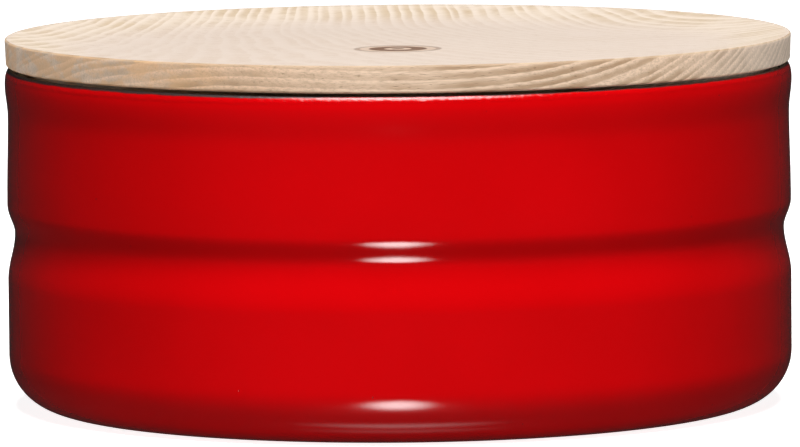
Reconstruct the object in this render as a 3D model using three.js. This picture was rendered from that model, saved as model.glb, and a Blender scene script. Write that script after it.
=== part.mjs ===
// A low round storage canister of enamelled sheet steel, with a turned ash lid that plugs into it
// and a silicone sealing ring on the lid's plug.
// Millimetres, +Z up. The origin is the centre of the base, on the surface that the canister stands on.
import * as THREE from "three";

const SEGMENTS = 60; // facets round every turned piece, in step so that the gaps between pieces stay even

// Canister: one deep-drawn shell with a rolled groove, a faint neck and a hemmed rim
const BODY_RADIUS = 65;
const SHEET = 1.1; // steel and enamel together
const CORNER_RADIUS = 9;
const FOOT_INNER_RADIUS = 50;
const FOOT_SLOPE = 2.5; // radial run of the step up from the foot to the raised base
const BASE_RAISE = 0.6;
const GROOVE = { z: 29.2, depth: 1.2, below: 7.8, above: 4.7 };
const NECK = { z: 48.5, depth: 0.25, below: 14, above: 5.5 };
const RIM_SWELL = 0.2;
const RIM_WIDEST_Z = NECK.z + NECK.above;
const RIM_TOP_Z = 56.5;
const RIM_THICKNESS = 1.7;
const HEM_BOTTOM_Z = 51.6;
const HEM_STEP = 0.9;

// Lid: dished top, flange over the rim, plug inside it with a groove for the ring
const LID_GAP = 0.5; // between the rim and the flange
const LID_FLANGE_THICKNESS = 4.5;
const LID_UNDERSIDE_Z = RIM_TOP_Z + LID_GAP;
const LID_TOP_Z = LID_UNDERSIDE_Z + LID_FLANGE_THICKNESS;
const LID_RADIUS = 65.1;
const LID_TAPER = 0.15; // the flange's lower edge is this much smaller in radius
const LID_EDGE_ROUND = 0.4;
const DISH_DEPTH = 2.5;
const DISH_FLAT_RADIUS = 42;
const PLUG_RADIUS = 61.6;
const PLUG_DEPTH = 7;
const PLUG_CHAMFER = 0.7;
const RING_GROOVE = { bottomZ: 51.9, height: 2.8, depth: 1.6 };

// Sealing ring
const RING_CLEARANCE = 0.15;
const RING_BODY_RADIUS = 62;
const LIP = { radius: 63.2, thickness: 0.3, rise: 0.75, root: 0.5, inset: 0.2 };

const rimRadius = BODY_RADIUS + RIM_SWELL;
const hemRadius = rimRadius - RIM_THICKNESS;

const redEnamel = new THREE.MeshStandardMaterial({ color: 0xc8000c, roughness: 0.12, metalness: 0 });
const ashWood = new THREE.MeshStandardMaterial({ color: 0xe6d2b8, roughness: 0.6, metalness: 0 });
const silicone = new THREE.MeshStandardMaterial({ color: 0xd9d9d4, roughness: 0.45, metalness: 0 });

// A smooth swell from 0 to 1 and back: 1 at z, and 0 from `below` under it and from `above` over it.
function swell(height, { z, below, above }) {
  const away = height < z ? (z - height) / below : (height - z) / above;
  return away < 1 ? (1 + Math.cos(Math.PI * away)) / 2 : 0;
}

// Outer radius of the drawn wall between the base corner and the widest line of the rim.
function wallRadius(height) {
  const towardsRim = height > NECK.z ? 1 - swell(height, NECK) : 0;
  return (
    BODY_RADIUS -
    GROOVE.depth * swell(height, GROOVE) -
    NECK.depth * swell(height, NECK) +
    RIM_SWELL * towardsRim
  );
}

// Heights where the wall is sampled: few along the straight wall, more where it curves.
function wallHeights(bottom, top) {
  const stretches = [
    [GROOVE.z - GROOVE.below, 5],
    [GROOVE.z, 4],
    [GROOVE.z + GROOVE.above, 3],
    [NECK.z, 4],
    [top, 0],
  ];
  const heights = [bottom];
  stretches.slice(0, -1).forEach(([start, steps], i) => {
    const end = Math.min(stretches[i + 1][0], top);
    for (let step = 0; step < steps; step++) heights.push(start + ((end - start) * step) / steps);
  });
  heights.push(top);
  return heights;
}

const at = (radius, height) => new THREE.Vector2(radius, height);

// Points of an elliptical arc in the profile plane, from one angle to another in degrees.
function arc(centreRadius, centreHeight, radialSize, verticalSize, from, to, steps) {
  const points = [];
  for (let step = 0; step <= steps; step++) {
    const angle = THREE.MathUtils.degToRad(from + ((to - from) * step) / steps);
    points.push(
      at(centreRadius + radialSize * Math.cos(angle), centreHeight + verticalSize * Math.sin(angle)),
    );
  }
  return points;
}

// Turns a profile of (radius, height) points about the Z axis. Equal neighbours are dropped.
function turned(name, profile, material) {
  const points = profile.filter((point, i) => i === 0 || point.distanceTo(profile[i - 1]) > 1e-4);
  const geometry = new THREE.LatheGeometry(points, SEGMENTS);
  geometry.rotateX(Math.PI / 2);
  const mesh = new THREE.Mesh(geometry, material);
  mesh.name = name;
  return mesh;
}

// The base, from the axis out to the corner: a raised middle, a short slope and the flat foot.
function baseProfile(lift) {
  return [
    at(0, BASE_RAISE + lift),
    at(FOOT_INNER_RADIUS - FOOT_SLOPE, BASE_RAISE + lift),
    at(FOOT_INNER_RADIUS, lift),
  ];
}

function canister() {
  const cornerCentre = BODY_RADIUS - CORNER_RADIUS;
  const outside = [
    ...baseProfile(0),
    ...arc(cornerCentre, CORNER_RADIUS, CORNER_RADIUS, CORNER_RADIUS, -90, 0, 6),
    ...wallHeights(CORNER_RADIUS, RIM_WIDEST_Z).map((z) => at(wallRadius(z), z)),
  ];
  const rimMiddle = rimRadius - RIM_THICKNESS / 2;
  const rimRise = RIM_TOP_Z - RIM_WIDEST_Z;
  const rim = [
    ...arc(rimMiddle, RIM_WIDEST_Z, RIM_THICKNESS / 2, rimRise, 0, 90, 5),
    ...arc(rimMiddle, RIM_WIDEST_Z, RIM_THICKNESS / 2, rimRise, 90, 180, 4),
    at(hemRadius, HEM_BOTTOM_Z),
  ];
  const innerCorner = CORNER_RADIUS - SHEET;
  const wallUnderHem = HEM_BOTTOM_Z - HEM_STEP;
  const inside = wallHeights(CORNER_RADIUS, wallUnderHem)
    .map((z) => at(wallRadius(z) - SHEET, z))
    .reverse();
  const floor = [
    ...arc(cornerCentre, CORNER_RADIUS, innerCorner, innerCorner, 0, -90, 5),
    ...baseProfile(SHEET).reverse(),
  ];
  return turned("canister", [...outside, ...rim, ...inside, ...floor], redEnamel);
}

function lid() {
  const plugBottom = LID_UNDERSIDE_Z - PLUG_DEPTH;
  const ringGrooveTop = RING_GROOVE.bottomZ + RING_GROOVE.height;
  const ringGrooveRadius = PLUG_RADIUS - RING_GROOVE.depth;
  const lowerEdge = LID_RADIUS - LID_TAPER;
  const crest = LID_RADIUS - LID_EDGE_ROUND;
  const plug = [
    at(0, plugBottom),
    at(PLUG_RADIUS - PLUG_CHAMFER, plugBottom),
    at(PLUG_RADIUS, plugBottom + PLUG_CHAMFER),
    at(PLUG_RADIUS, RING_GROOVE.bottomZ),
    at(ringGrooveRadius, RING_GROOVE.bottomZ),
    at(ringGrooveRadius, ringGrooveTop),
    at(PLUG_RADIUS, ringGrooveTop),
    at(PLUG_RADIUS, LID_UNDERSIDE_Z),
  ];
  const r = LID_EDGE_ROUND;
  const edge = [
    ...arc(lowerEdge - r, LID_UNDERSIDE_Z + r, r, r, -90, 0, 2),
    ...arc(crest, LID_TOP_Z - r, r, r, 0, 90, 2),
  ];
  const dish = [];
  const dishSteps = 5;
  for (let step = 1; step <= dishSteps; step++) {
    const share = 1 - step / dishSteps; // 1 at the crest, 0 where the dish turns flat
    dish.push(
      at(
        DISH_FLAT_RADIUS + (crest - DISH_FLAT_RADIUS) * share,
        LID_TOP_Z - DISH_DEPTH * (1 - share * share),
      ),
    );
  }
  return turned("lid", [...plug, ...edge, ...dish, at(0, LID_TOP_Z - DISH_DEPTH)], ashWood);
}

// A lip of the ring: out and up from the ring's body, to a blunt tip near the hem.
function lipProfile(rootZ) {
  const tipZ = rootZ + LIP.rise;
  return [
    at(RING_BODY_RADIUS, rootZ),
    at(LIP.radius, tipZ),
    at(LIP.radius, tipZ + LIP.thickness),
    at(RING_BODY_RADIUS, rootZ + LIP.root),
  ];
}

function lidSeal() {
  const inner = PLUG_RADIUS - RING_GROOVE.depth + RING_CLEARANCE;
  const bottom = RING_GROOVE.bottomZ + RING_CLEARANCE;
  const top = RING_GROOVE.bottomZ + RING_GROOVE.height - RING_CLEARANCE;
  const lowerLip = bottom + LIP.inset;
  const upperLip = top - LIP.inset - LIP.root;
  const profile = [
    at(inner, bottom),
    at(RING_BODY_RADIUS, bottom),
    ...lipProfile(lowerLip),
    ...lipProfile(upperLip),
    at(RING_BODY_RADIUS, top),
    at(inner, top),
    at(inner, bottom),
  ];
  return turned("lid_seal", profile, silicone);
}

const group = new THREE.Group();
group.add(canister(), lid(), lidSeal());
export default group;
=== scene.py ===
"""The looks of a low enamelled storage canister with a turned ash lid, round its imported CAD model.

Profiles are in millimetres as (radius, height) points. Objects are in metres, as the frame is.
"""
import math

import bmesh
import bpy
from mathutils import Matrix, Vector, noise


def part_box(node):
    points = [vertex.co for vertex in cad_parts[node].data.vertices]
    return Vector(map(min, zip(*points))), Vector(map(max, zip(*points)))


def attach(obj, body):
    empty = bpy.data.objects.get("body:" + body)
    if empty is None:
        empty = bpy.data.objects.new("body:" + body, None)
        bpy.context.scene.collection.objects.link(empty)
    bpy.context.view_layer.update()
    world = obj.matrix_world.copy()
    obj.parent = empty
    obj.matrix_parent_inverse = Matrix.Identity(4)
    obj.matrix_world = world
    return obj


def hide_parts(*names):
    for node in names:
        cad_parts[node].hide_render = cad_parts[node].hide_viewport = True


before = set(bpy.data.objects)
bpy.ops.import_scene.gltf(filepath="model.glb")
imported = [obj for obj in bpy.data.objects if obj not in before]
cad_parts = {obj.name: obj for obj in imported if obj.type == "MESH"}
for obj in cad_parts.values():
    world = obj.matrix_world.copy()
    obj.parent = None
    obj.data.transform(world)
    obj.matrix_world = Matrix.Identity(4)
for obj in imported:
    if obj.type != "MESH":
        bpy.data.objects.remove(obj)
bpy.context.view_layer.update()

MM = 0.001
SEGMENTS = 300  # round every turned piece
LONGEST_STEP = 1.5  # between two points of a profile
EDGE_SUPPORT = 0.06  # distance from a sharp corner to the point that keeps its shading crisp
SHARP_CORNER = math.radians(25)

# Canister
SHEET = 1.1
CORNER_RADIUS = 9
FOOT_INNER_RADIUS = 50
FOOT_SLOPE = 2.5
BASE_RAISE = 0.6
GROOVE = {"z": 29.2, "depth": 1.2, "below": 7.8, "above": 4.7}
NECK = {"z": 48.5, "depth": 0.25, "below": 14, "above": 5.5}
RIM_SWELL = 0.2
RIM_THICKNESS = 1.7
HEM_BOTTOM_Z = 51.6
HEM_STEP = 0.9
DARK_RIM_HEIGHT = 0.45
KILN_MARK_REACH = 53  # from the axis
ENAMEL_WAVE = 0.012  # how far the fired enamel stands up and down, in slow waves

# Lid
PLUG_RADIUS = 61.6
PLUG_DEPTH = 7
PLUG_CHAMFER = 0.7
LID_EDGE_ROUND = 0.4
LID_TAPER = 0.15
DISH_DEPTH = 2.5
DISH_FLAT_RADIUS = 42
RING_GROOVE = {"bottom": 51.9, "height": 2.8, "depth": 1.6}
MARK_RADIUS = 6.8

# Wood: the growth rings lie flat at the lid's left and front, and dip more and more towards its right
GRAIN_TURN = math.radians(-7)
RING_TWIST = 0.006  # change of dip per millimetre along the grain
FLAT_AT = (-30, -65)
RING_SPACING = 1.5
RIPPLE_SPACING = 2.3
TOOL_FEED = 0.55  # between the turning marks

# Sealing ring
RING_BODY_RADIUS = 62
RING_CLEARANCE = 0.15
LIP = {"radius": 63.2, "thickness": 0.3, "rise": 0.75, "root": 0.5, "inset": 0.2}


# ---------------------------------------------------------------- shapes


def arc(centre_r, centre_z, size_r, size_z, start, end, steps):
    """Points of an elliptical arc, from one angle to another in degrees."""
    angles = [math.radians(start + (end - start) * i / steps) for i in range(steps + 1)]
    return [(centre_r + size_r * math.cos(a), centre_z + size_z * math.sin(a)) for a in angles]


def swell(height, place):
    """1 at the place's height, falling smoothly to 0 above and below it."""
    away = height - place["z"]
    share = -away / place["below"] if away < 0 else away / place["above"]
    return (1 + math.cos(math.pi * share)) / 2 if share < 1 else 0


def wall_radius(height, body_radius):
    """Outer radius of the drawn wall, between its bottom corner and the widest line of the rim."""
    towards_rim = 1 - swell(height, NECK) if height > NECK["z"] else 0
    dip = GROOVE["depth"] * swell(height, GROOVE) + NECK["depth"] * swell(height, NECK)
    return body_radius - dip + RIM_SWELL * towards_rim


def heights(low, high, step):
    count = math.ceil((high - low) / step)
    return [low + (high - low) * i / count for i in range(count + 1)]


def with_supports(profile):
    """Splits long straight stretches, and adds a point on each side of every sharp corner."""
    points = [profile[0]]
    for (r0, z0), (r1, z1) in zip(profile, profile[1:]):
        if math.hypot(r1 - points[-1][0], z1 - points[-1][1]) > 1e-4:
            points.append((r1, z1))
    spans = [Vector(b) - Vector(a) for a, b in zip(points, points[1:])]
    sharp = [a.angle(b) > SHARP_CORNER for a, b in zip(spans, spans[1:])]
    supported = [points[0]]
    for (r, z), span, sharp_start, sharp_end in zip(points, spans, [True, *sharp], [*sharp, True]):
        near = EDGE_SUPPORT / span.length
        inner = math.ceil(span.length / LONGEST_STEP)
        shares = [i / inner for i in range(1, inner)] + [1.0]
        if near < 0.25:
            shares = [near] * sharp_start + shares[:-1] + [1 - near] * sharp_end + [1.0]
        supported += [(r + span.x * s, z + span.y * s) for s in shares]
    return supported


def turned(name, profile, waviness=0.0):
    """A solid turned from a profile, which has both ends on the axis or both at one point."""
    bm = bmesh.new()
    rings = []
    for r, z in with_supports(profile):
        if r < 1e-6:
            rings.append([bm.verts.new((0, 0, z * MM))])
            continue
        ring = []
        for i in range(SEGMENTS):
            a = 2 * math.pi * i / SEGMENTS
            spot = Vector((r * math.cos(a), r * math.sin(a), z))
            # the wave never makes the piece larger than its CAD size
            out = r - waviness * (0.5 + 0.5 * noise.noise(spot / 9))
            ring.append(bm.verts.new((out * math.cos(a) * MM, out * math.sin(a) * MM, z * MM)))
        rings.append(ring)
    for lower, upper in zip(rings, rings[1:]):
        for i in range(SEGMENTS):
            j = (i + 1) % SEGMENTS
            corners = [ring[k % len(ring)] for ring, k in ((lower, i), (lower, j), (upper, j), (upper, i))]
            bm.faces.new(list(dict.fromkeys(corners)))
    bmesh.ops.remove_doubles(bm, verts=bm.verts, dist=1e-8)
    bmesh.ops.recalc_face_normals(bm, faces=bm.faces)
    mesh = bpy.data.meshes.new(name)
    bm.to_mesh(mesh)
    bm.free()
    mesh.shade_smooth()
    piece = bpy.data.objects.new(name, mesh)
    bpy.context.scene.collection.objects.link(piece)
    return piece


def base_profile(lift):
    """The base from the axis out to the corner: raised middle, short slope, foot."""
    slope = [
        (FOOT_INNER_RADIUS - FOOT_SLOPE * (1 - s), lift + BASE_RAISE * (1 + math.cos(math.pi * s)) / 2)
        for s in (0, 0.17, 0.33, 0.5, 0.67, 0.83, 1)
    ]
    return [(0, BASE_RAISE + lift), *slope]


def make_shell():
    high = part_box("canister")[1]
    rim_radius, rim_top = high.x / MM, high.z / MM
    body_radius = rim_radius - RIM_SWELL
    widest_z = NECK["z"] + NECK["above"]
    corner = body_radius - CORNER_RADIUS
    outside = [
        *base_profile(0),
        *arc(corner, CORNER_RADIUS, CORNER_RADIUS, CORNER_RADIUS, -90, 0, 24),
        *[(wall_radius(z, body_radius), z) for z in heights(CORNER_RADIUS, widest_z, 0.4)],
    ]
    middle = rim_radius - RIM_THICKNESS / 2
    rise = rim_top - widest_z
    hem_top = arc(middle, widest_z, RIM_THICKNESS / 2, rise, 0, 180, 36)
    hem = [*hem_top, (rim_radius - RIM_THICKNESS, HEM_BOTTOM_Z)]
    under_hem = HEM_BOTTOM_Z - HEM_STEP
    inner_corner = CORNER_RADIUS - SHEET
    inside = [
        *[
            (wall_radius(z, body_radius) - SHEET, z)
            for z in reversed(heights(CORNER_RADIUS, under_hem, 0.5))
        ],
        *arc(corner, CORNER_RADIUS, inner_corner, inner_corner, 0, -90, 18),
        *reversed(base_profile(SHEET)),
    ]
    shell = turned("enamelled_shell", [*outside, *hem, *inside], waviness=ENAMEL_WAVE)
    return shell, middle, rim_top


def is_inside(face, rim_middle):
    """Whether a face of the shell is on its inside, where the enamel is white."""
    centre, normal = face.center / MM, face.normal
    if centre.z > HEM_BOTTOM_Z:
        return math.hypot(centre.x, centre.y) < rim_middle
    faces_axis = centre.x * normal.x + centre.y * normal.y < 0
    return centre.z > (BASE_RAISE + SHEET) / 2 and (faces_axis or normal.z > 0.3)


def make_lid():
    low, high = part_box("lid")
    radius, top, plug_bottom = high.x / MM, high.z / MM, low.z / MM
    underside = plug_bottom + PLUG_DEPTH
    ring_top = RING_GROOVE["bottom"] + RING_GROOVE["height"]
    ring_radius = PLUG_RADIUS - RING_GROOVE["depth"]
    crest = radius - LID_EDGE_ROUND
    low_edge = radius - LID_TAPER - LID_EDGE_ROUND
    fillet = 0.25
    plug = [
        (0, plug_bottom),
        *arc(PLUG_RADIUS - PLUG_CHAMFER, plug_bottom + PLUG_CHAMFER, PLUG_CHAMFER, PLUG_CHAMFER, -90, 0, 8),
        (PLUG_RADIUS, RING_GROOVE["bottom"]),
        (ring_radius, RING_GROOVE["bottom"]),
        (ring_radius, ring_top),
        (PLUG_RADIUS, ring_top),
        *arc(PLUG_RADIUS + fillet, underside - fillet, fillet, fillet, 180, 90, 5),
    ]
    edge = [
        *arc(low_edge, underside + LID_EDGE_ROUND, LID_EDGE_ROUND, LID_EDGE_ROUND, -90, 0, 8),
        *arc(crest, top - LID_EDGE_ROUND, LID_EDGE_ROUND, LID_EDGE_ROUND, 0, 90, 8),
    ]
    dish_width = crest - DISH_FLAT_RADIUS
    dish = [
        (DISH_FLAT_RADIUS + dish_width * s, top - DISH_DEPTH * (1 - s * s))
        for s in (1 - i / 24 for i in range(1, 25))
    ]
    return turned("turned_lid", [*plug, *edge, *dish, (0, top - DISH_DEPTH)]), top


def make_ring():
    low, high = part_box("lid_seal")
    bottom, top = low.z / MM, high.z / MM
    inner = PLUG_RADIUS - RING_GROOVE["depth"] + RING_CLEARANCE
    tip = LIP["thickness"] / 2

    def lip(root):
        middle = root + LIP["rise"] + tip
        return [
            (RING_BODY_RADIUS, root),
            *arc(LIP["radius"] - tip, middle, tip, tip, -60, 90, 6),
            (RING_BODY_RADIUS, root + LIP["root"]),
        ]

    profile = [
        (inner, bottom),
        (RING_BODY_RADIUS, bottom),
        *lip(bottom + LIP["inset"]),
        *lip(top - LIP["inset"] - LIP["root"]),
        (RING_BODY_RADIUS, top),
        (inner, top),
        (inner, bottom),
    ]
    return turned("sealing_ring", profile)


# ---------------------------------------------------------------- materials


class Shader:
    """A material's node tree. Each method adds one node and returns its output socket."""

    def __init__(self, name):
        self.material = bpy.data.materials.new(name)
        self.material.use_nodes = True
        self.tree = self.material.node_tree
        self.tree.nodes.clear()
        coordinates = self.tree.nodes.new("ShaderNodeTexCoord")
        self.normal = coordinates.outputs["Normal"]
        self.place = self.vector("SCALE", coordinates.outputs["Object"], scale=1 / MM)
        self.x, self.y, self.z = self.split(self.place)

    def fill(self, socket, value):
        if isinstance(value, bpy.types.NodeSocket):
            self.tree.links.new(value, socket)
        elif value is not None:
            socket.default_value = value

    def math(self, operation, a, b=None):
        node = self.tree.nodes.new("ShaderNodeMath")
        node.operation = operation
        for socket, value in zip(node.inputs, (a, b)):
            self.fill(socket, value)
        return node.outputs[0]

    def plus(self, a, b):
        return self.math("ADD", a, b)

    def minus(self, a, b):
        return self.math("SUBTRACT", a, b)

    def times(self, a, b):
        return self.math("MULTIPLY", a, b)

    def vector(self, operation, a, b=None, scale=None):
        node = self.tree.nodes.new("ShaderNodeVectorMath")
        node.operation = operation
        self.fill(node.inputs[0], a)
        if b is not None:
            self.fill(node.inputs[1], b)
        if scale is not None:
            self.fill(node.inputs["Scale"], scale)
        return node.outputs["Value" if operation in ("DOT_PRODUCT", "LENGTH") else "Vector"]

    def split(self, vector):
        node = self.tree.nodes.new("ShaderNodeSeparateXYZ")
        self.fill(node.inputs[0], vector)
        return node.outputs[:3]

    def join(self, x, y, z):
        node = self.tree.nodes.new("ShaderNodeCombineXYZ")
        for socket, value in zip(node.inputs, (x, y, z)):
            self.fill(socket, value)
        return node.outputs[0]

    def turn(self, vector, angle):
        node = self.tree.nodes.new("ShaderNodeVectorRotate")
        node.rotation_type = "Z_AXIS"
        self.fill(node.inputs["Vector"], vector)
        node.inputs["Angle"].default_value = angle
        return node.outputs[0]

    def noise(self, vector, scale, detail=2.0, roughness=0.5):
        node = self.tree.nodes.new("ShaderNodeTexNoise")
        self.fill(node.inputs["Vector"], vector)
        node.inputs["Scale"].default_value = scale
        node.inputs["Detail"].default_value = detail
        node.inputs["Roughness"].default_value = roughness
        return node.outputs["Fac"]

    def cells(self, vector, scale):
        """Distance from scattered points, as a share of their usual spacing."""
        node = self.tree.nodes.new("ShaderNodeTexVoronoi")
        self.fill(node.inputs["Vector"], vector)
        node.inputs["Scale"].default_value = scale
        return node.outputs["Distance"]

    def ramp(self, value, low, high, out_low=0.0, out_high=1.0):
        """value from low to high becomes out_low to out_high, smoothly and no further."""
        node = self.tree.nodes.new("ShaderNodeMapRange")
        node.interpolation_type = "SMOOTHSTEP"
        for socket, number in zip(node.inputs[:5], (value, low, high, out_low, out_high)):
            self.fill(socket, number)
        return node.outputs[0]

    def band(self, value, middle, half_width, fade):
        """1 where value is within half_width of middle, fading to 0 over fade outside it."""
        away = self.math("ABSOLUTE", self.minus(value, middle))
        return self.ramp(away, half_width, half_width + fade, 1.0, 0.0)

    def mix(self, factor, a, b):
        node = self.tree.nodes.new("ShaderNodeMix")
        node.data_type = "RGBA"
        self.fill(node.inputs[0], factor)
        for index, value in ((6, a), (7, b)):
            self.fill(node.inputs[index], (*value, 1) if isinstance(value, tuple) else value)
        return node.outputs[2]

    def bump(self, height, distance, strength=1.0, under=None):
        node = self.tree.nodes.new("ShaderNodeBump")
        self.fill(node.inputs["Height"], height)
        node.inputs["Distance"].default_value = distance * MM
        node.inputs["Strength"].default_value = strength
        if under is not None:
            self.fill(node.inputs["Normal"], under)
        return node.outputs[0]

    def finish(self, colour, roughness, normal, **others):
        """Ends the tree in a Principled shader. others are more of its inputs, by name."""
        shader = self.tree.nodes.new("ShaderNodeBsdfPrincipled")
        self.fill(shader.inputs["Base Color"], (*colour, 1) if isinstance(colour, tuple) else colour)
        self.fill(shader.inputs["Roughness"], roughness)
        self.fill(shader.inputs["Normal"], normal)
        for name, value in others.items():
            self.fill(shader.inputs[name.replace("_", " ")], value)
        output = self.tree.nodes.new("ShaderNodeOutputMaterial")
        self.tree.links.new(shader.outputs[0], output.inputs["Surface"])
        return self.material


def kiln_marks(s):
    """1 in each of three spots on the foot, where the piece stood on points in the kiln."""
    marks = None
    for turn in range(3):
        angle = math.radians(90 + 120 * turn)
        at = (KILN_MARK_REACH * math.cos(angle), KILN_MARK_REACH * math.sin(angle), 0)
        away = s.vector("LENGTH", s.vector("SUBTRACT", s.place, at))
        edge = s.plus(away, s.times(s.noise(s.place, 2.2, 2), 0.5))
        spot = s.ramp(edge, 0.8, 1.1, 1.0, 0.0)
        marks = spot if marks is None else s.math("MAXIMUM", marks, spot)
    return marks


def enamel(name, coat, deep_coat, rim_low):
    """Fired enamel: a glassy coat with slow waves and rare pinholes, and bare ground coat at the rim."""
    s = Shader(name)
    drift = s.ramp(s.noise(s.place, 0.035, 2), 0.3, 0.7)
    colour = s.mix(drift, coat, deep_coat)

    # the coat ends in an uneven line below the rim, lower at the left, where the dark ground coat shows
    line = s.plus(s.z, s.times(s.minus(s.noise(s.place, 0.4, 3), 0.5), 0.32))
    line = s.minus(line, s.ramp(s.x, -30, -5, 0.0, 0.3))
    rim = s.ramp(line, rim_low - 0.15, rim_low + 0.15)
    ground = s.mix(s.noise(s.place, 1.4, 3), (0.014, 0.008, 0.008), (0.045, 0.026, 0.026))
    colour = s.mix(rim, colour, ground)

    # the foot: kiln marks, and scuffs from standing
    marks = kiln_marks(s)
    colour = s.mix(marks, colour, (0.05, 0.045, 0.045))
    foot = s.ramp(s.z, 0.02, 0.25, 1.0, 0.0)
    worn = s.times(foot, s.ramp(s.noise(s.place, 2.8, 4, 0.7), 0.5, 0.62))
    colour = s.mix(s.times(worn, 0.35), colour, ground)

    # rare pinholes down to the ground coat
    pit = s.ramp(s.cells(s.place, 0.16), 0.012, 0.026, 1.0, 0.0)
    colour = s.mix(s.times(pit, 0.6), colour, ground)

    # the coat runs thicker, and lies less even, in the bottom corner
    thick = s.ramp(s.z, 5, 9, 0.09, 0.0)
    rim_haze = s.times(rim, 0.3)
    gloss = s.plus(s.plus(thick, 0.07), rim_haze)
    roughness = s.plus(0.07, s.times(s.noise(s.place, 0.09, 3), 0.04))
    roughness = s.plus(roughness, rim_haze)
    roughness = s.plus(roughness, s.times(s.math("MAXIMUM", marks, worn), 0.35))
    roughness = s.plus(roughness, thick)

    # relief: faint orange peel, the coat's step down at the rim, beads of enamel along it, and the pinholes
    peel = s.bump(s.noise(s.place, 0.32, 2), 0.02)
    step = s.bump(rim, 0.03, under=peel)
    crust = s.times(s.noise(s.place, 1.1, 3), s.ramp(line, rim_low - 1.2, rim_low - 0.5))
    beads = s.bump(crust, 0.15, under=step)
    pits = s.bump(pit, -0.05, under=beads)
    return s.finish(colour, roughness, pits, IOR=1.5, Coat_Weight=0.5, Coat_Roughness=gloss, Coat_IOR=1.5)


def early_wood(s, along):
    """1 in the open early wood of each growth ring, and 0 in its dense late wood."""
    u, v, w = s.split(along)
    # depth below the bark: twisted sheets, bent by slow warps and by a faint ripple across the grain
    warp = s.times(s.minus(s.noise(s.join(s.times(u, 0.3), v, w), 0.04, 3), 0.5), 3.0)
    stray = s.times(s.noise(along, 0.06, 2), 7.0)
    ripple_angle = s.plus(s.times(u, 2 * math.pi / RIPPLE_SPACING), stray)
    ripple = s.times(s.math("SINE", ripple_angle), 0.03)
    dip = s.times(s.minus(s.x, FLAT_AT[0]), RING_TWIST)
    sheet = s.minus(s.z, s.times(dip, s.minus(s.y, FLAT_AT[1])))
    depth = s.plus(s.plus(sheet, warp), ripple)
    good_and_bad_years = s.times(s.noise(s.join(depth, 0.0, 0.0), 0.35, 1), 1.6)
    ring = s.math("FRACT", s.plus(s.math("DIVIDE", depth, RING_SPACING), good_and_bad_years))
    return s.times(s.ramp(ring, 0.0, 0.12), s.ramp(ring, 0.3, 0.95, 1.0, 0.0))


def burned_mark(s, uneven, fibre, top_z):
    """1 where the mark is burned into the dish: a thin ring, a broad ring and a dot."""
    thin = s.times(s.band(uneven, MARK_RADIUS, 0.3, 0.35), 0.55)
    broad = s.band(uneven, MARK_RADIUS * 0.52, 1.1, 0.35)
    dot = s.times(s.ramp(uneven, 0.9, 1.25, 1.0, 0.0), 0.95)
    burn = s.math("MAXIMUM", thin, s.math("MAXIMUM", broad, dot))
    dish_floor = top_z - DISH_DEPTH
    burn = s.times(burn, s.ramp(s.z, dish_floor - 0.5, dish_floor - 0.2))
    return s.times(burn, s.ramp(fibre, 0.25, 0.6, 1.0, 0.75))


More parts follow.
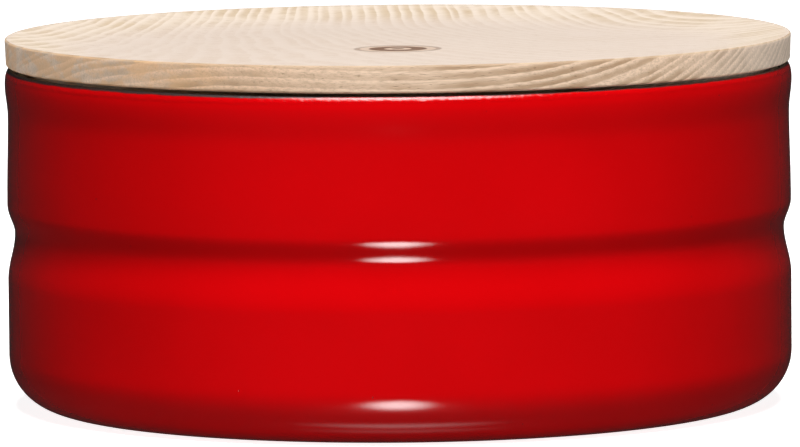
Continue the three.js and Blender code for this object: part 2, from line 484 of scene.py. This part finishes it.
def ash(top_z):
    """Ash: growth rings cut by the turned surface, with ripple, pores and fibre, and a burned mark."""
    s = Shader("oiled_ash")
    along = s.turn(s.place, GRAIN_TURN)
    u, v, w = s.split(along)
    early = early_wood(s, along)
    fibre = s.noise(s.join(s.times(u, 0.06), v, w), 3.2, 4, 0.65)
    pore = s.ramp(s.noise(s.join(s.times(u, 0.16), v, w), 4.2, 2, 0.4), 0.6, 0.72)
    pore = s.times(pore, s.ramp(early, 0.2, 0.8, 0.25, 1.0))

    # painted light, by which way the surface faces: the flat face is painted darker than the side, to hold
    # back the strong light from above, and paler and pinker, standing in for the sheen of the grazing view;
    # the slopes and the side are painted more yellow
    upness = s.vector("DOT_PRODUCT", s.normal, (0, 0, 1))
    face = s.ramp(upness, 0.985, 0.9995)
    slope = s.ramp(upness, 0.88, 0.97)
    side = s.ramp(upness, 0.5, 0.9, 1.0, 0.0)
    side_colour = s.mix(s.ramp(s.x, -45, 0), (0.84, 0.565, 0.37), (0.86, 0.645, 0.475))
    edge_colour = s.mix(slope, side_colour, (0.76, 0.655, 0.555))
    early_edge_colour = s.mix(slope, (0.44, 0.285, 0.17), (0.60, 0.47, 0.33))
    late_colour = s.mix(face, edge_colour, (0.695, 0.59, 0.512))
    early_colour = s.mix(face, early_edge_colour, (0.665, 0.55, 0.465))
    patches = s.ramp(s.noise(s.join(s.times(u, 0.35), v, w), 0.12, 3, 0.6), 0.4, 0.62)
    strength = s.plus(0.35, s.times(patches, 0.65))
    colour = s.mix(s.times(early, strength), late_colour, early_colour)

    # painted shade: the rounded upper edge, which faces the main light most squarely, is painted darker to
    # hold back its glare
    crest_shade = s.times(s.ramp(upness, 0.05, 0.5), s.ramp(upness, 0.9, 0.985, 1.0, 0.0))
    colour = s.mix(s.times(crest_shade, 0.6), colour, (0.42, 0.30, 0.20))

    # fibre, stronger on the side, and open pores, mostly in the early wood
    streaks = s.times(s.ramp(fibre, 0.35, 0.6, 1.0, 0.0), s.plus(0.2, s.times(side, 0.3)))
    colour = s.mix(streaks, colour, (0.50, 0.35, 0.23))
    colour = s.mix(s.times(pore, 0.4), colour, (0.36, 0.23, 0.14))

    # painted sheen: the ends of the side, where the grain runs out, are painted paler, in place of the
    # white backdrop's glancing reflection; the end grain's pores show there as dots
    grain = (math.cos(GRAIN_TURN), -math.sin(GRAIN_TURN), 0)
    end = s.ramp(s.math("ABSOLUTE", s.vector("DOT_PRODUCT", s.normal, grain)), 0.55, 1.0)
    dots = s.ramp(s.noise(s.join(s.times(u, 0.5), v, s.times(w, 0.6)), 4.5, 2), 0.45, 0.7)
    colour = s.mix(s.times(end, 0.5), colour, (0.74, 0.66, 0.58))
    colour = s.mix(s.times(s.times(end, dots), 0.4), colour, (0.3, 0.22, 0.16))

    # tan mottling on the left of the side
    blotch = s.ramp(s.noise(s.join(s.times(u, 0.5), v, s.times(w, 1.6)), 0.22, 3, 0.6), 0.4, 0.58)
    blotch = s.times(s.times(blotch, s.ramp(s.x, -45, -15, 1.0, 0.0)), side)
    colour = s.mix(s.times(blotch, 0.55), colour, (0.72, 0.42, 0.20))

    # the burned mark in the middle of the dish, in a disc of scorched wood
    reach = s.vector("LENGTH", s.join(s.x, s.y, 0.0))
    uneven = s.plus(reach, s.times(s.minus(s.noise(s.place, 1.1, 3), 0.5), 0.35))
    scorch = s.ramp(uneven, MARK_RADIUS - 1, MARK_RADIUS + 0.8, 0.4, 0.0)
    colour = s.mix(s.times(scorch, s.ramp(fibre, 0.3, 0.6, 1.0, 0.5)), colour, (0.46, 0.24, 0.10))
    burn = burned_mark(s, uneven, fibre, top_z)
    colour = s.mix(burn, colour, (0.12, 0.045, 0.015))

    roughness = s.plus(0.52, s.times(fibre, 0.16))
    # relief: turning marks, raised fibre, open pores and the sunken mark
    tool_marks = s.math("SINE", s.times(reach, 2 * math.pi / TOOL_FEED))
    turning = s.bump(tool_marks, 0.0025)
    grooves = s.bump(fibre, 0.03, under=turning)
    open_pores = s.bump(s.math("MAXIMUM", pore, burn), -0.05, under=grooves)
    return s.finish(colour, roughness, open_pores, IOR=1.45, Specular_IOR_Level=0.35)


def silicone():
    s = Shader("white_silicone")
    cloud = s.noise(s.place, 0.12, 3)
    colour = s.mix(cloud, (0.78, 0.78, 0.74), (0.86, 0.86, 0.83))
    dust = s.ramp(s.noise(s.place, 3.5, 3), 0.62, 0.72)
    colour = s.mix(s.times(dust, 0.12), colour, (0.5, 0.48, 0.44))
    roughness = s.plus(0.38, s.times(cloud, 0.14))
    skin = s.bump(s.noise(s.place, 2.5, 3), 0.01)
    return s.finish(colour, roughness, skin, IOR=1.41, Subsurface_Weight=0.15, Subsurface_Scale=0.002)


# ---------------------------------------------------------------- pieces

shell, rim_middle, rim_top = make_shell()
coat_end = rim_top - DARK_RIM_HEIGHT
shell.data.materials.append(enamel("red_enamel", (0.66, 0.0003, 0.002), (0.61, 0.0002, 0.0015), coat_end))
shell.data.materials.append(enamel("white_enamel", (0.62, 0.62, 0.595), (0.58, 0.58, 0.56), coat_end))
for face in shell.data.polygons:
    face.material_index = int(is_inside(face, rim_middle))
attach(shell, "canister")
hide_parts("canister")

lid, lid_top = make_lid()
lid.data.materials.append(ash(lid_top))
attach(lid, "lid")
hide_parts("lid")

ring = make_ring()
ring.data.materials.append(silicone())
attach(ring, "lid")
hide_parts("lid_seal")

# ---------------------------------------------------------------- stage


def aimed(place, target, roll=0.0):
    """A matrix at place that looks at target, turned about its own line of sight."""
    turn = (Vector(target) - Vector(place)).to_track_quat("-Z", "Y").to_matrix().to_4x4()
    return Matrix.Translation(place) @ turn @ Matrix.Rotation(roll, 4, "Z")


def direction(azimuth, elevation):
    """Azimuth 0 is in front of the canister, and grows to its right. Both are in degrees."""
    a, e = math.radians(azimuth), math.radians(elevation)
    return Vector((math.sin(a) * math.cos(e), -math.cos(a) * math.cos(e), math.sin(e)))


def softbox(name, azimuth, elevation, distance, width, height, watts, shape="RECTANGLE"):
    """An area light that faces the canister from a distance in metres, and that the camera doesn't see."""
    light = bpy.data.lights.new(name, "AREA")
    light.shape, light.size, light.size_y = shape, width, height
    light.energy = watts
    box = bpy.data.objects.new(name, light)
    target = Vector((0, 0, 0.035))
    box.matrix_world = aimed(target + direction(azimuth, elevation) * distance, target)
    box.visible_camera = False
    bpy.context.scene.collection.objects.link(box)
    return box


def fade_edges(light):
    """The light is brightest in its middle and falls smoothly to nothing at its edge."""
    light.use_nodes = True
    tree = light.node_tree
    surface = tree.nodes.new("ShaderNodeNewGeometry")
    offset = tree.nodes.new("ShaderNodeVectorMath")
    offset.operation = "SUBTRACT"
    offset.inputs[1].default_value = (0.5, 0.5, 0)
    flat = tree.nodes.new("ShaderNodeVectorMath")
    flat.operation = "MULTIPLY"
    flat.inputs[1].default_value = (1, 1, 0)
    reach = tree.nodes.new("ShaderNodeVectorMath")
    reach.operation = "LENGTH"
    fall = tree.nodes.new("ShaderNodeMapRange")
    fall.interpolation_type = "SMOOTHSTEP"
    for socket, number in zip(fall.inputs[1:5], (0.1, 0.5, 1.0, 0.0)):
        socket.default_value = number
    tree.links.new(surface.outputs["Parametric"], offset.inputs[0])
    tree.links.new(offset.outputs[0], flat.inputs[0])
    tree.links.new(flat.outputs[0], reach.inputs[0])
    tree.links.new(reach.outputs["Value"], fall.inputs[0])
    tree.links.new(fall.outputs[0], tree.nodes["Emission"].inputs["Strength"])


def shine_only_on(box, pieces):
    """Keeps a light off everything but these pieces."""
    receivers = bpy.data.collections.new(box.name + "_receivers")
    for piece in pieces:
        receivers.objects.link(piece)
    box.light_linking.receiver_collection = receivers


def make_lights():
    key = softbox("key", 6, 60, 1.4, 0.6, 0.5, 30)
    key.visible_glossy = False
    for azimuth in (-105, 105, 180):
        fill = softbox("lid_fill", azimuth, 2, 1.0, 0.4, 0.4, 4.2)
        fill.visible_glossy = False
        shine_only_on(fill, [lid])
    back = softbox("back", 180, 45, 1.4, 0.6, 0.5, 22)
    shine_only_on(back, [shell, ring])
    low_front = softbox("low_front", -1, -32, 1.0, 0.40, 0.46, 5.1, "ELLIPSE")
    fade_edges(low_front.data)
    # these show in gloss only: a bank overhead, and two strips low down, as a polished table gives
    for name, elevation, distance, width, height, watts in (
        ("overhead", 60, 2.5, 3.5, 2.7, 270),
        ("low_strip", -79, 1.0, 0.75, 0.26, 0.65),
        ("back_strip", -95, 1.0, 0.60, 0.26, 0.13),
    ):
        gleam = softbox(name, -1, elevation, distance, width, height, watts, "ELLIPSE")
        gleam.visible_diffuse = False
        fade_edges(gleam.data)


def by_camera_ray(tree, seen, unseen):
    """Mixes two shaders: one for what the camera sees directly, and one for light that bounces."""
    mix = tree.nodes.new("ShaderNodeMixShader")
    path = tree.nodes.new("ShaderNodeLightPath")
    tree.links.new(path.outputs["Is Camera Ray"], mix.inputs[0])
    tree.links.new(unseen, mix.inputs[1])
    tree.links.new(seen, mix.inputs[2])
    return mix.outputs[0]


def make_floor():
    """A floor that is white for the camera, dim for bounced light and absent from reflections."""
    half = 6.0
    mesh = bpy.data.meshes.new("floor")
    bm = bmesh.new()
    bm.faces.new([bm.verts.new((x * half, y * half, 0)) for x, y in ((-1, -1), (1, -1), (1, 1), (-1, 1))])
    bm.to_mesh(mesh)
    bm.free()
    material = bpy.data.materials.new("pale_floor")
    material.use_nodes = True
    tree = material.node_tree
    tree.nodes.clear()
    pale = tree.nodes.new("ShaderNodeBsdfDiffuse")
    pale.inputs["Color"].default_value = (0.85, 0.85, 0.85, 1)
    glow = tree.nodes.new("ShaderNodeEmission")
    glow.inputs["Strength"].default_value = 0.9
    both = tree.nodes.new("ShaderNodeAddShader")
    tree.links.new(pale.outputs[0], both.inputs[0])
    tree.links.new(glow.outputs[0], both.inputs[1])
    dim = tree.nodes.new("ShaderNodeBsdfDiffuse")
    dim.inputs["Color"].default_value = (0.2, 0.2, 0.2, 1)
    output = tree.nodes.new("ShaderNodeOutputMaterial")
    tree.links.new(by_camera_ray(tree, both.outputs[0], dim.outputs[0]), output.inputs["Surface"])
    mesh.materials.append(material)
    floor = bpy.data.objects.new("floor", mesh)
    floor.visible_glossy = False
    floor.visible_shadow = False
    bpy.context.scene.collection.objects.link(floor)


def make_world():
    world = bpy.data.worlds.new("studio")
    world.use_nodes = True
    tree = world.node_tree
    tree.nodes.clear()
    shades = []
    for level in (1.0, 0.02):  # white behind the object, and nearly dark in reflections and shade
        shade = tree.nodes.new("ShaderNodeBackground")
        shade.inputs["Color"].default_value = (level, level, level, 1)
        shades.append(shade.outputs[0])
    output = tree.nodes.new("ShaderNodeOutputWorld")
    tree.links.new(by_camera_ray(tree, *shades), output.inputs["Surface"])
    bpy.context.scene.world = world


def make_camera():
    camera = bpy.data.cameras.new("camera")
    camera.sensor_width, camera.lens = 36, 450
    camera.clip_start, camera.clip_end = 0.1, 50
    view = bpy.data.objects.new("camera", camera)
    distance, aim_height, pitch, roll = 1.66, 0.0299, 5.56, -0.52
    target = Vector((0.0001, 0, aim_height))
    view.matrix_world = aimed(target + direction(0, pitch) * distance, target, math.radians(roll))
    bpy.context.scene.collection.objects.link(view)
    bpy.context.scene.camera = view


make_camera()
make_floor()
make_world()
make_lights()
bpy.context.scene.view_settings.view_transform = "Standard"
